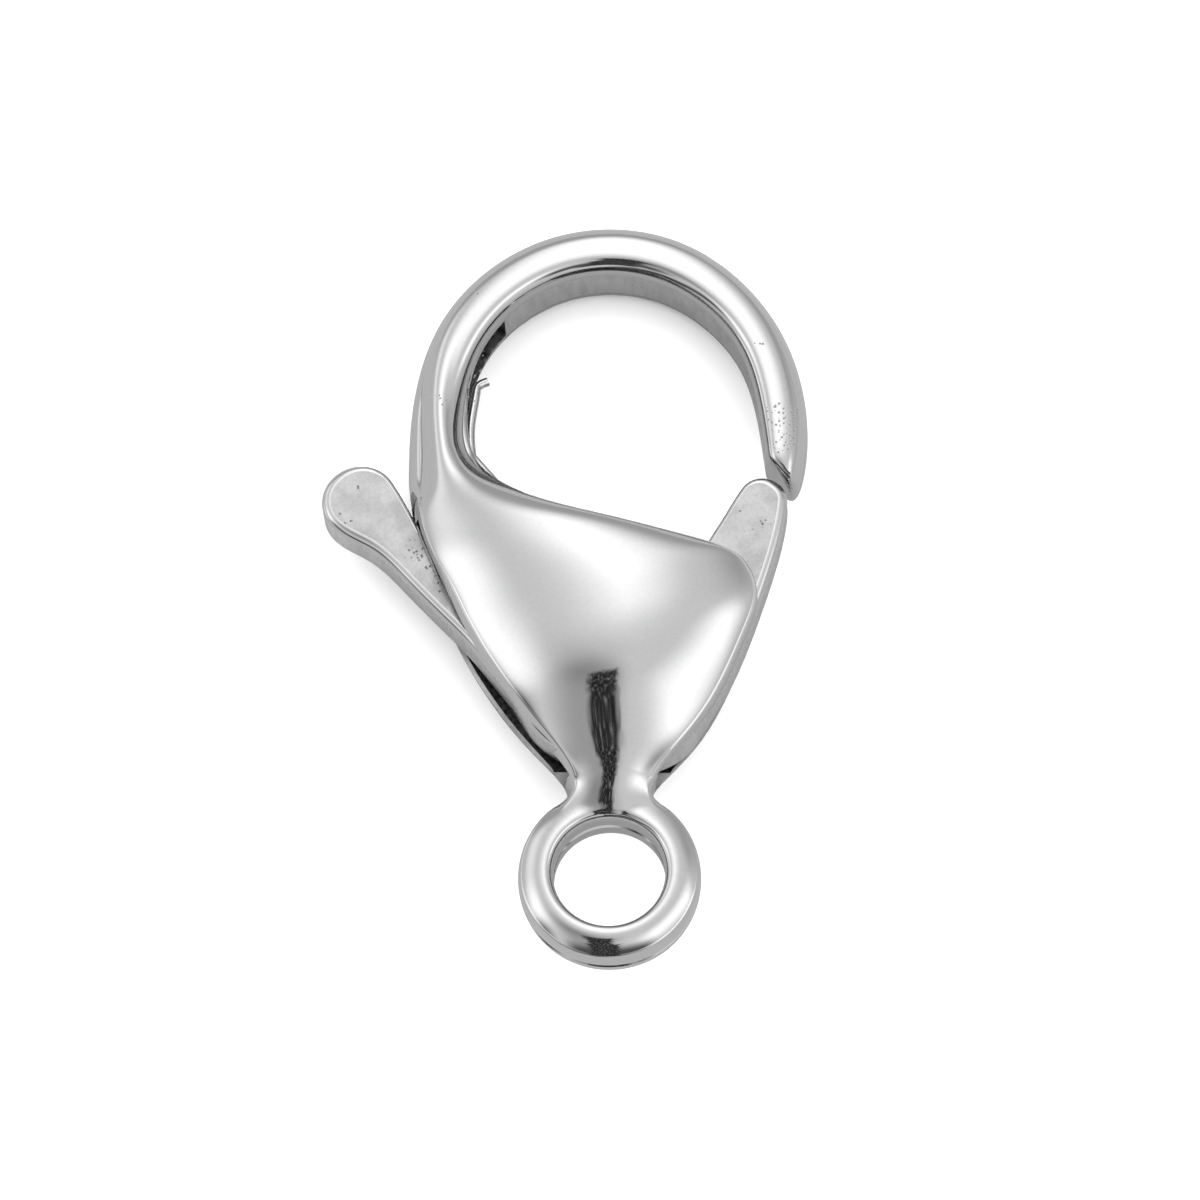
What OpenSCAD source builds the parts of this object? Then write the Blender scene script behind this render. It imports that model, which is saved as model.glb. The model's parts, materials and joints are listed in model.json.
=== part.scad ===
// Lobster clasp: a sprung snap hook for a necklace or bracelet, lying on its rounded back.
// The pieces are drawn flat, front upwards: the middle of the end ring is the origin and +Y runs to the hook.
// lie_down() then leans the clasp until its back and its hook both touch the surface.

/* [Hook] */
// Radius of the eye inside the hook
eye_r = 4.75; // [4.5:0.05:5]
// Outer radius of the hook
hook_r = 6.5; // [6.3:0.05:6.9]
// Distance from the middle of the end ring to the middle of the eye
reach = 16.05; // [15.8:0.05:16.8]
// Thickness of the hook over its rounded front and back
hook_t = 2.7; // [2.4:0.05:3]
// Height of the flat wall inside the eye
hook_wall = 1.9; // [1.7:0.05:2]

/* [Body] */
// Width across the domed shells
body_w = 10.6; // [10.4:0.1:11.2]
// Thickness over the two domes
dome_t = 5.7; // [5.5:0.1:6.4]
// Thickness over the rims of the shells
rim_t = 3.4; // [3.2:0.05:3.8]
// How far a rim slopes outwards below its edge
rim_draft = 0.12; // [0.06:0.01:0.2]
// How far the shells stand askew, leftwards, for each millimetre from front to back
shell_skew = 0.075; // [0:0.005:0.1]
// Depth of the channel inside the hook's left limb
channel_d = 0.85; // [0.7:0.05:1]

/* [End ring] */
// Radius of the hole in the end ring
bore_r = 1.8; // [1.6:0.05:1.85]
// Outer radius of the end ring
ring_r = 2.95; // [2.9:0.01:3.1]
// Thickness of the end ring
ring_t = 1.9; // [1.7:0.05:2.2]
// Height of the straight wall in the hole
bore_wall = 1; // [0.6:0.05:1.1]
// Depth of the seam round the ring
seam_d = 0.07; // [0.03:0.01:0.12]

/* [Lever] */
// Thickness of the lever
lever_t = 1.6; // [1.5:0.05:2]
// Gap between the lever and each shell
side_gap = 0.1; // [0.06:0.01:0.15]
// Radius of the lever's hub
hub_r = 3.65; // [3.5:0.05:3.7]
// Radius of the round end of the thumb tab
tab_r = 1.24; // [1.1:0.01:1.4]
// Distance from the pin to the middle of the tab's round end
tab_reach = 9.84; // [9.5:0.01:10.4]
// Radius of the round end of the gate
gate_r = 0.8; // [0.75:0.01:0.85]
// Distance from the pin to the middle of the gate's round end
gate_reach = 7.34; // [7.1:0.01:7.36]
// Width of the bevel round the lever's faces
bevel = 0.16; // [0.08:0.01:0.25]

/* [Pin and spring] */
// Distance from the middle of the end ring to the pin
pin_y = 7.4; // [7.3:0.05:7.6]
// Radius of the pin
pin_r = 0.75; // [0.6:0.01:0.85]
// Length of the pin
pin_l = 4.6; // [4.2:0.05:4.8]
// Running gap between the pin and the lever
pin_gap = 0.05; // [0.02:0.01:0.08]
// Diameter of the spring's wire
wire_d = 0.3; // [0.24:0.01:0.34]
// Radius of the spring's coil, to the middle of the wire
coil_r = 1.15; // [1.1:0.05:1.3]
// Room that the lever leaves round the coil
coil_room = 0.8; // [0.6:0.05:0.9]

/* [Hidden] */
$fn = 96;

// Steps between two rows of a section table
row_steps = 3;
// Steps across the dome of one section
dome_steps = 8;
// Shape of a dome across: 0.5 is an ellipse, 1 a parabola
dome_power = 0.75;
// How far the outer side bulges beyond the edge of the front, where its share in the tables is 1
bulge = 0.3;
// Below the hub the shells stay apart by a narrower gap, between two heights along Y
hub_room = 0.15;
neck_l = 0.24;
neck_gap = 1.1;
// The channel in the hook: the angle where it starts, its arc and its height as a share of the wall
channel_from = 137;
channel_arc = 70;
channel_share = 0.64;

// The slot's narrow end: its outer side and its depth as shares of half_w, its foot and its point of reach
point_out = 1.4;
point_in = 0.28;
point_foot = 0.77;
point_y = 0.878;

half_w = body_w / 2;
slot_half = lever_t / 2 + side_gap;
slot_foot = pin_y - hub_r - hub_room;

// The hook, from its sloping end anticlockwise to the shoulder: angle about the eye, inner and outer radius
// as shares of eye_r and hook_r, height of the edges and of the crown as shares of hook_wall and hook_t,
// and how far the outer side bulges
HOOK_ROWS = [
    // angle, inner, outer, edge, crown, bulge
    [-24.9, 1.365, 1.012, 0.70, 0.54, 1.00],
    [-24.2, 1.322, 1.029, 0.90, 0.76, 1.00],
    [-22.9, 1.250, 1.038, 0.98, 0.90, 1.00],
    [-21.3, 1.172, 1.039, 1.00, 0.96, 1.00],
    [-18.1, 1.128, 1.034, 1.00, 1.00, 1.00],
    [-10.0, 1.068, 1.018, 1.00, 1.00, 1.00],
    [5.0, 1.012, 0.992, 1.00, 1.00, 1.00],
    [28.0, 0.998, 0.980, 1.00, 1.00, 1.00],
    [55.0, 0.992, 0.990, 1.00, 1.00, 1.00],
    [80.0, 1.004, 1.006, 1.00, 1.00, 1.00],
    [105.0, 1.008, 1.008, 1.00, 1.00, 1.00],
    [130.0, 1.000, 1.002, 1.00, 1.00, 1.00],
    [155.0, 0.993, 1.000, 1.00, 1.00, 1.10],
    [178.0, 0.973, 1.000, 1.04, 1.05, 1.35],
    [192.0, 0.982, 1.035, 1.18, 1.12, 1.50],
    [203.0, 0.982, 1.100, 1.33, 1.25, 1.55]
];

// The shells, from the shoulder to the ring: a section runs from its inner edge, right, to its outer, left;
// x as shares of half_w, y as shares of reach, heights as shares of rim_t and dome_t, then bulge and skew
BODY_ROWS = [
    // inner x, inner y, outer x, outer y, edge, crown, bulge, skew
    [-0.665, 0.829, -1.225, 0.776, 0.84, 0.68, 1.25, 0.2],
    [-0.455, 0.790, -1.172, 0.713, 0.92, 0.79, 0.85, 0.4],
    [-0.20, 0.760, -1.105, 0.660, 0.98, 0.88, 0.60, 0.6],
    [0.09, 0.733, -1.05, 0.611, 1.00, 0.94, 0.50, 0.8],
    [0.38, 0.705, -0.995, 0.564, 1.00, 0.975, 0.40, 1],
    [0.61, 0.683, -0.945, 0.526, 1.00, 0.99, 0.40, 1],
    [0.785, 0.656, -0.895, 0.494, 1.00, 1.00, 0.40, 1],
    [0.880, 0.609, -0.84, 0.460, 1.00, 1.00, 0.40, 1],
    [0.900, 0.556, -0.775, 0.425, 1.00, 0.99, 0.40, 1],
    [0.835, 0.494, -0.70, 0.387, 1.00, 0.955, 0.40, 1],
    [0.742, 0.420, -0.612, 0.347, 0.99, 0.885, 0.40, 1],
    [0.618, 0.340, -0.51, 0.305, 0.94, 0.755, 0.40, 1],
    [0.472, 0.276, -0.405, 0.265, 0.87, 0.635, 0.40, 1],
    [0.345, 0.229, -0.317, 0.228, 0.76, 0.535, 0.40, 1],
    [0.276, 0.195, -0.268, 0.196, 0.64, 0.465, 0.40, 1],
    [0.270, 0.163, -0.264, 0.165, 0.54, 0.395, 0.40, 0.6],
    [0.330, 0.128, -0.320, 0.128, 0.48, 0.33, 0.40, 0]
];

// The lever, from the tab to the gate, about the pin: its inner edge faces the eye, its outer edge the ring;
// the tab's rows are shares of tab_reach, the gate's of gate_reach, the hub's outer edge an angle on hub_r
TAB_ROWS = [
    // inner x, inner y, outer x, outer y
    [-0.658, 0.511, -0.809, 0.399],
    [-0.603, 0.412, -0.671, 0.268],
    [-0.532, 0.324, -0.549, 0.137],
    [-0.423, 0.257, -0.465, 0.046],
    [-0.295, 0.213, -0.404, -0.061],
    [-0.183, 0.178, -0.336, -0.162]
];
HUB_ROWS = [
    // inner x, inner y, angle
    [-0.36, 0.47, 222],
    [-0.12, 0.45, 250],
    [0.12, 0.46, 280],
    [0.32, 0.54, 308]
];
GATE_ROWS = [
    // inner x, inner y, outer x, outer y
    [0.218, 0.306, 0.427, -0.283],
    [0.315, 0.377, 0.526, -0.114],
    [0.394, 0.455, 0.602, 0.057],
    [0.447, 0.544, 0.672, 0.250],
    [0.501, 0.633, 0.737, 0.452]
];
// The first angle of the arc round an end, from its direction, and the steps from there to its last
end_from = 10;
end_steps = 4;
// Directions in which the tab and the gate point, and how far round their ends the arcs run
tab_turn = 126;
gate_turn = 70;
tab_arc = 96;
gate_arc = 78;
TAB_END = tab_reach * [-0.829, 0.559];
GATE_END = gate_reach * [0.685, 0.728];

// The spring's ends: one bears on the gate, the other lies in the hook's channel
SPRING_ON_GATE = gate_reach * [0.272, 0.379];
SPRING_ROWS = [
    // x and y from the middle of the eye, as shares of eye_r
    [-0.947, -0.316],
    [-0.960, -0.095],
    [-0.930, 0.137],
    [-0.912, 0.232],
    [-0.846, 0.274]
];
spring_from = 127.3;
spring_to = 400;
coil_steps = 14;
coil_rise = 0.6;
wire_sides = 8;
// The pocket that the lever leaves for the coil
pocket_r = coil_r + wire_d / 2 + coil_room;
pocket_h = coil_rise + wire_d + 2 * side_gap;

function blend(a, b, c, d, t) =
    (2 * b + (c - a) * t + (2 * a - 5 * b + 4 * c - d) * t * t + (3 * b - a - 3 * c + d) * t * t * t) / 2;
function row_at(rows, i) = rows[max(0, min(len(rows) - 1, i))];
// A smooth curve through the rows of a table, all its columns at once
function smooth_rows(rows) = concat(
    [for (i = [0:len(rows) - 2], k = [0:row_steps - 1])
        blend(row_at(rows, i - 1), rows[i], rows[i + 1], row_at(rows, i + 2), k / row_steps)],
    [rows[len(rows) - 1]]);
function polar(r, a) = r * [cos(a), sin(a)];

// A station is inner x, y, outer x, y, edge height, crown height, bulge and skew
function hook_station(r) =
    let (inner = polar(eye_r * r[1], r[0]), outer = polar(hook_r * r[2], r[0]))
    [inner[0], reach + inner[1], outer[0], reach + outer[1],
        hook_wall / 2 * r[3], hook_t / 2 * r[4], bulge * r[5], 0];
function body_station(r) =
    [half_w * r[0], reach * r[1], half_w * r[2], reach * r[3],
        rim_t / 2 * r[4], dome_t / 2 * r[5], bulge * r[6], shell_skew * r[7]];
STATIONS = smooth_rows(concat(
    [for (r = HOOK_ROWS) hook_station(r)],
    [for (r = BODY_ROWS) body_station(r)]));

// Half a section, from the middle of the inner wall over the dome to the middle of the outer wall:
// distance along the section and height
function half_section(w, edge, crown, out) =
    let (inset = min(rim_draft, w / 4), outset = min(out, w / 3))
    concat(
        [for (a = [0, 30, 60]) [inset * (1 - sqrt(cos(a))), edge * sqrt(sin(a))]],
        [for (k = [0:dome_steps])
            let (u = -cos(180 * k / dome_steps))
            [inset + (w - inset - outset) * (1 + u) / 2, edge + (crown - edge) * pow(1 - u * u, dome_power)]],
        [for (a = [60, 30, 0]) [w - outset * (1 - cos(a)), edge * sin(a)]]);
function whole_section(half) =
    concat(half, [for (i = [len(half) - 2:-1:1]) [half[i][0], -half[i][1]]]);
function width(s) = norm([s[2] - s[0], s[3] - s[1]]);
function placed(s, section, skew = 0) =
    let (along = [s[2] - s[0], s[3] - s[1]] / width(s))
    [for (p = section) let (d = p[0] - skew * p[1]) [s[0] + along[0] * d, s[1] + along[1] * d, p[1]]];
BODY_RINGS = [for (s = STATIONS)
    placed(s, whole_section(half_section(width(s), s[4], s[5], s[6])), s[7])];

// A closed skin over rings of points that all have as many points
module skin(rings) {
    n = len(rings[0]);
    last = len(rings) - 1;
    polyhedron(
        points = [for (ring = rings, p = ring) p],
        faces = concat(
            [[for (i = [0:n - 1]) i]],
            [for (r = [0:last - 1], i = [0:n - 1]) [r * n + i, (r + 1) * n + i, r * n + (i + 1) % n]],
            [for (r = [0:last - 1], i = [0:n - 1])
                [(r + 1) * n + i, (r + 1) * n + (i + 1) % n, r * n + (i + 1) % n]],
            [[for (i = [n - 1:-1:0]) last * n + i]]),
        convexity = 8);
}

// The clasp rests on the backs of the shells and of the hook: the slope of the line that touches both
far_y = reach + (eye_r + hook_r) / 2;
SHELL_POINTS = [for (ring = BODY_RINGS, p = ring) if (p[1] > ring_r && p[1] < reach - eye_r) p];
rest_lean = atan(max([for (p = SHELL_POINTS) (-hook_t / 2 - p[2]) / (far_y - p[1])]));
rest_lift = -min([for (ring = BODY_RINGS, p = ring) p[2] * cos(rest_lean) - p[1] * sin(rest_lean)]);
mid_x = (TAB_END[0] - tab_r + hook_r) / 2;
mid_y = (reach + hook_r - ring_r) / 2 * cos(rest_lean);

module lie_down() {
    translate([-mid_x, -mid_y, rest_lift]) rotate([-rest_lean, 0, 0]) children();
}

// The end ring: two rounded leaves with a seam between them
module end_ring() {
    middle = (bore_r + ring_r) / 2;
    half_wide = (ring_r - bore_r) / 2;
    function leaf(side) = [for (a = [0:15:180])
        [middle + side * half_wide * cos(a), side * (bore_wall + (ring_t - bore_wall) * sin(a)) / 2]];
    rotate_extrude() polygon(concat(
        [[ring_r - seam_d, 0], [ring_r, seam_d]],
        leaf(1),
        leaf(-1),
        [[ring_r, -seam_d]]));
}

// The room for the lever, open to the left, to the right and to the eye
module lever_slot() {
    corners = [
        // x as shares of half_w, y as shares of reach, from the right end round the shoulder
        [1.5, 0.720],
        [0, 0.800],
        [-0.72, 0.891],
        [-0.89, 0.866],
        [-1.04, 0.822],
        [-1.15, 0.778],
        [-1.5, 0.778]
    ];
    wide = corners[0][0] * half_w;
    translate([0, 0, -slot_half]) linear_extrude(2 * slot_half) polygon(concat(
        [[-wide, slot_foot], [wide, slot_foot]],
        [for (p = corners) [p[0] * half_w, p[1] * reach]]));
    // Its narrow end runs up the left side to a point
    translate([-point_out * half_w, 0, 0]) rotate([90, 0, 90]) linear_extrude(point_in * half_w)
        polygon([[point_foot * reach, -slot_half], [point_foot * reach, slot_half], [point_y * reach, 0]]);
    // Below the hub the shells stay apart by a narrower gap
    translate([-wide, ring_r + neck_l, -neck_gap / 2]) cube([2 * wide, pin_y - ring_r - neck_l, neck_gap]);
}

// The open channel inside the hook's left limb, where the spring's end lies
module channel() {
    h = channel_share * hook_wall;
    translate([0, reach, 0]) rotate([0, 0, channel_from]) rotate_extrude(angle = channel_arc)
        translate([eye_r - channel_d, -h / 2]) square([2 * channel_d, h]);
}

module body() {
    color("silver") lie_down() difference() {
        union() {
            skin(BODY_RINGS);
            end_ring();
        }
        lever_slot();
        channel();
        translate([0, pin_y, 0]) cylinder(r = pin_r, h = pin_l, center = true);
    }
}

// Rows round an end of the lever: the inner edge on one side of its direction, the outer on the other
function end_rows(middle, r, turn, arc, side) =
    [for (a = [end_from:(arc - end_from) / end_steps:arc])
        let (p = middle + polar(r, turn - side * a), q = middle + polar(r, turn + side * a))
        [p[0], p[1], q[0], q[1]]];
function reversed(rows) = [for (i = [len(rows) - 1:-1:0]) rows[i]];
LEVER_STATIONS = smooth_rows(concat(
    end_rows(TAB_END, tab_r, tab_turn, tab_arc, 1),
    tab_reach * TAB_ROWS,
    [for (r = HUB_ROWS) let (p = polar(hub_r, r[2])) [r[0] * hub_r, r[1] * hub_r, p[0], p[1]]],
    gate_reach * GATE_ROWS,
    reversed(end_rows(GATE_END, gate_r, gate_turn, gate_arc, -1))));
function lever_section(w) =
    let (b = min(bevel, w / 4), h = lever_t / 2)
    [[0, bevel - h], [0, h - bevel], [b, h], [w - b, h],
        [w, h - bevel], [w, bevel - h], [w - b, -h], [b, -h]];

module lever() {
    color("gainsboro") lie_down() translate([0, pin_y, 0]) difference() {
        skin([for (s = LEVER_STATIONS) placed(s, lever_section(width(s)))]);
        cylinder(r = pin_r + pin_gap, h = dome_t, center = true);
        cylinder(r = pocket_r, h = pocket_h, center = true);
    }
}

module pivot_pin() {
    color("lightsteelblue") lie_down() translate([0, pin_y, 0]) cylinder(r = pin_r, h = pin_l, center = true);
}

// The spring's wire: from the gate round the pin and up into the hook
COIL = [for (k = [0:coil_steps])
    let (p = polar(coil_r, spring_from + (spring_to - spring_from) * k / coil_steps))
    [p[0], p[1], coil_rise * (k / coil_steps - 0.5)]];
// The free end comes back to the middle plane as it runs up the hook
last_row = len(SPRING_ROWS) - 1;
FREE_END = [for (i = [0:last_row])
    let (p = eye_r * SPRING_ROWS[i], left = 1 - i / last_row)
    [p[0], reach - pin_y + p[1], coil_rise / 2 * left]];
WIRE = concat([[SPRING_ON_GATE[0], SPRING_ON_GATE[1], -coil_rise / 2]], COIL, FREE_END);
function wire_ring(path, i) =
    let (
        ahead = path[min(len(path) - 1, i + 1)] - path[max(0, i - 1)],
        side = cross([0, 0, 1], ahead) / norm(cross([0, 0, 1], ahead)),
        up = cross(ahead, side) / norm(ahead))
    [for (k = [0:wire_sides - 1])
        path[i] + wire_d / 2 * (cos(360 * k / wire_sides) * side + sin(360 * k / wire_sides) * up)];

module spring() {
    color("gold") lie_down() translate([0, pin_y, 0]) skin([for (i = [0:len(WIRE) - 1]) wire_ring(WIRE, i)]);
}

body();
lever();
pivot_pin();
spring();
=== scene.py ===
"""Looks of the lobster clasp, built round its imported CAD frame.

Every surface is worked out in a flat frame in millimetres: the middle of the end ring is the origin, +Y runs
to the hook and +Z is the front. finish_piece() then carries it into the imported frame.
"""
import json
import math

import bpy
import numpy as np
from mathutils import Matrix, Vector


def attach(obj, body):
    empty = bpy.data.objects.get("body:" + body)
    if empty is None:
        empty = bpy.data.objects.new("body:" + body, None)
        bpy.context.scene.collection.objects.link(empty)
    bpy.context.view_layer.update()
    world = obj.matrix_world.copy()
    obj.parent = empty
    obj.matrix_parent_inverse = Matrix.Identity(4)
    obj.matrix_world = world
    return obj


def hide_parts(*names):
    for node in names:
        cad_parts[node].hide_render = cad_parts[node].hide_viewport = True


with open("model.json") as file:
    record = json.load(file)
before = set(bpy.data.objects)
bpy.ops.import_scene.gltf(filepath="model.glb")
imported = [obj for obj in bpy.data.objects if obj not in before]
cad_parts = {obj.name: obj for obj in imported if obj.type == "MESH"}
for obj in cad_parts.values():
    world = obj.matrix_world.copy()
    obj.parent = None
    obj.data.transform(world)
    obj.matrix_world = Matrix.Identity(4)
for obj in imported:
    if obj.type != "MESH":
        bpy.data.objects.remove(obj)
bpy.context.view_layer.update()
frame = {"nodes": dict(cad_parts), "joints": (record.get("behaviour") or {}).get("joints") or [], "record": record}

bl_info = {
    "name": "Lobster clasp",
    "version": (1, 0, 0),
    "blender": (4, 5, 0),
    "location": "View3D > Sidebar > Clasp",
    "description": "Builds the looks of a lobster clasp round its packed CAD frame",
    "category": "Add Mesh",
}

MM = 0.001
HINGE = frame["joints"][0]
RING_MOUNT = frame["record"]["mounts"][0]
# The flat frame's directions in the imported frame: across, along the clasp and out of its front
ACROSS = np.array([1.0, 0.0, 0.0])
FRONT = np.array(HINGE["axis"]) / np.linalg.norm(HINGE["axis"])
ALONG = np.cross(FRONT, ACROSS)
BASIS = np.stack([ACROSS, ALONG, FRONT], 1)
RING_MIDDLE = np.array(RING_MOUNT["pos_m"])
PIN = np.linalg.inv(BASIS) @ (np.array(HINGE["pos_m"]) - RING_MIDDLE) / MM

# The hook from its tip to the shoulder: the angle about the eye, then shares of the eye's and the hook's
# radius, of the wall, the thickness and the bulge. lift is in millimetres, and turned is 1 on the shells.
HOOK_ROWS = [
    # angle, inner, outer, edge, crown, bulge, lift, turned
    [-24.9, 1.365, 1.012, 0.70, 0.54, 1.00, 0, 0],
    [-24.2, 1.322, 1.029, 0.90, 0.76, 1.00, 0, 0],
    [-22.9, 1.250, 1.038, 0.98, 0.90, 1.00, 0, 0],
    [-21.3, 1.172, 1.039, 1.00, 0.96, 1.00, 0, 0],
    [-18.1, 1.128, 1.034, 1.00, 1.00, 1.00, 0, 0],
    [-10.0, 1.068, 1.018, 1.00, 1.00, 1.00, 0, 0],
    [5.0, 1.012, 0.992, 1.00, 1.00, 1.00, 0, 0],
    [28.0, 0.998, 0.980, 1.00, 1.00, 1.00, 0, 0],
    [55.0, 0.992, 0.990, 1.00, 1.00, 1.00, 0, 0],
    [80.0, 1.004, 1.006, 1.00, 1.00, 1.00, 0, 0],
    [105.0, 1.008, 1.008, 1.00, 1.00, 1.00, 0, 0],
    [130.0, 1.000, 1.002, 1.00, 1.00, 1.00, 0, 0],
    [155.0, 0.993, 1.000, 1.00, 1.00, 1.10, 0, 0.15],
    [178.0, 0.973, 1.000, 1.04, 1.05, 1.35, 0, 0.7],
    [192.0, 0.982, 1.035, 1.18, 1.12, 1.50, 0, 1],
    [203.0, 0.982, 1.100, 1.33, 1.25, 1.55, 0.1, 1],
]

# The shells from the shoulder to the ring: shares of half the width, of the reach, of the thicknesses, of the
# bulge and of SHELL_SKEW. lift, in millimetres, is how much higher the inner edge stands.
BODY_ROWS = [
    # inner x, inner y, outer x, outer y, edge, crown, bulge, skew, lift, turned
    [-0.665, 0.823, -1.225, 0.776, 0.84, 0.68, 1.25, 0.2, 0.3, 1],
    [-0.455, 0.777, -1.172, 0.713, 0.92, 0.79, 0.85, 0.4, 0.6, 1],
    [-0.20, 0.745, -1.105, 0.660, 0.98, 0.88, 0.60, 0.6, 0.7, 1],
    [0.09, 0.719, -1.05, 0.611, 1.00, 0.94, 0.9, 0.8, 0.65, 1],
    [0.38, 0.694, -0.995, 0.564, 1.00, 0.975, 1.1, 1, 0.5, 1],
    [0.61, 0.675, -0.945, 0.526, 1.00, 0.99, 1.1, 1, 0.35, 1],
    [0.785, 0.652, -0.895, 0.494, 1.00, 1.00, 1.1, 1, 0.2, 1],
    [0.880, 0.608, -0.84, 0.460, 1.00, 1.00, 1.1, 1, 0.05, 1],
    [0.900, 0.556, -0.775, 0.425, 1.00, 0.99, 1.1, 1, 0, 1],
    [0.835, 0.494, -0.70, 0.387, 1.00, 0.955, 1.1, 1, 0, 1],
    [0.742, 0.420, -0.612, 0.347, 0.99, 0.885, 1.1, 1, 0, 1],
    [0.618, 0.340, -0.51, 0.305, 0.94, 0.755, 1.1, 1, 0, 1],
    [0.472, 0.276, -0.405, 0.265, 0.87, 0.635, 1.1, 1, 0, 1],
    [0.345, 0.229, -0.317, 0.228, 0.76, 0.535, 1.1, 1, 0, 1],
    [0.276, 0.195, -0.268, 0.196, 0.64, 0.470, 1.1, 1, 0, 1],
    [0.270, 0.163, -0.264, 0.165, 0.54, 0.410, 0.75, 0.6, 0, 1],
    [0.330, 0.129, -0.320, 0.129, 0.48, 0.348, 0.75, 0, 0, 1],
    [0.350, 0.118, -0.340, 0.118, 0.45, 0.325, 0.75, 0, 0, 1],
]

# The lever about the pin: the tab's rows are shares of its reach, the gate's and the hub's of their own
TAB_ROWS = [
    # inner x, inner y, outer x, outer y
    [-0.658, 0.511, -0.809, 0.399],
    [-0.603, 0.412, -0.671, 0.268],
    [-0.532, 0.324, -0.549, 0.137],
    [-0.423, 0.257, -0.465, 0.046],
    [-0.295, 0.213, -0.391, -0.049],
    [-0.183, 0.178, -0.320, -0.146],
]
HUB_ROWS = [
    # inner x, inner y, angle, radius
    [-0.36, 0.47, 222, 0.955],
    [-0.12, 0.45, 250, 0.99],
    [0.12, 0.46, 280, 1.03],
    [0.32, 0.54, 308, 1.07],
]
GATE_ROWS = [
    # inner x, inner y, outer x, outer y
    [0.218, 0.306, 0.427, -0.283],
    [0.315, 0.377, 0.526, -0.114],
    [0.394, 0.455, 0.602, 0.057],
    [0.447, 0.544, 0.672, 0.250],
    [0.501, 0.633, 0.737, 0.452],
]

# The lever's room, from its right end round the shoulder: shares of half the width and of the reach
SLOT_CORNERS = [
    [1.5, 0.720],
    [0, 0.800],
    [-0.72, 0.891],
    [-0.89, 0.866],
    [-1.04, 0.822],
    [-1.15, 0.778],
    [-1.5, 0.778],
]

# The lever's round ends: the way to each from the pin, its tip's direction and the arc to each side of that
TAB_WAY = (-0.829, 0.559)
TAB_TIP = 126
TAB_ARC = 96
GATE_WAY = (0.685, 0.728)
GATE_TIP = 70
GATE_ARC = 78

# The spring's free end in the hook, about the eye's middle, as shares of the eye's radius
SPRING_ROWS = [
    [-0.947, -0.316],
    [-0.960, -0.095],
    [-0.930, 0.137],
    [-0.912, 0.232],
    [-0.846, 0.274],
]

# The coil: where it starts and how far it goes round, in degrees about the pin, and how far it rises
COIL_FROM = 127.3
COIL_ARC = 272.7
COIL_RISE = 0.6
# Where the spring's other end lies on the gate, as shares of the gate's reach
SPRING_ON_GATE = (0.272, 0.379)

# The sections' samples from row to row, and the spread of the bell curve that softens them, in samples
STATIONS_PER_ROW = 16
STATION_SOFTNESS = 5.0
# Where the hook's crown stands across it, and how square its inner edge and outer side are (2 is an ellipse)
HOOK_CROWN = 0.32
HOOK_EDGE = 2.3
HOOK_SIDE = 2.8
# How far a shell's section slides outwards with its height, and the power that shapes its dome
SHELL_SKEW = 0.075
DOME_POWER = 0.92
# The ring: how far its side stands out and its crown is from the bore, how its face falls to the shoulder,
# and the power that makes its inner edge fuller
RING_SHOULDER = 0.14
RING_CROWN = 0.30
RING_FALL = 0.27
RING_POWER = 1.8
RING_EDGE = 0.8
# How deep the shells are hollowed from the middle plane, and how far the hollows overlap the lever's room
HOLLOW_Z = 1.3
OVERLAP = 0.05
# The neck's gap: half its height, and how far from the ring it and the slot begin
NECK_GAP_Z = 0.55
NECK_GAP_Y = 0.24
SLOT_Y = 0.3
# The spring's pocket in the lever, and the lever's running gap at the pin
POCKET_R = 2.1
PIN_GAP = 0.05
# The shoulder's notch beside the tab: its ends as shares of half the width, its foot and point of the reach
NOTCH_X = (-1.4, -1.12)
NOTCH_FOOT = 0.77
NOTCH_POINT = 0.878
# The channel's ends in the hook's left limb, in degrees about the eye
CHANNEL_FROM = 137
CHANNEL_TO = 207
# Where the lever's room ends at the eye's side, as a share of the reach
EYE_SIDE = 0.765
# A face counts as part of a cut where it lies this close to it
CLOSE = 0.01

# The scale of the grain's patches and of the pits' crowds as a share of their own, and how dark a pit is
WIDE_SHARE = 0.12
PIT_SHADE = 0.45
# Where the pits crowd: x, y, z and radius
POLISH_PITS = [
    [5.66, 15.4, 1.3, 0.9],
    [5.66, 14.5, 1.3, 0.6],
    [5.0, 18.0, 1.3, 0.3],
    [-5.5, 16.2, 1.3, 0.4],
    [-4.3, 20.0, 1.3, 0.3],
]
PLATE_PITS = [
    [-5.9, 11.1, 0.8, 1.0],
    [-5.2, 10.0, 0.8, 0.8],
    [-8.2, 13.3, 0.8, 0.3],
    [-8.5, 12.2, 0.8, 0.3],
    [5.2, 11.9, 0.8, 0.35],
]

# The camera: its turn and height in degrees, its distance, its aim, how far it is moved, and its lens
CAMERA_AZIMUTH = 5.0
CAMERA_ELEVATION = 69.0
CAMERA_FAR = 250.0
CAMERA_AIM = (0.0, 9.4, 0.0)
CAMERA_LEFT = 0.31
CAMERA_UP = 0.19
CAMERA_LENS = 230.25

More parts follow.
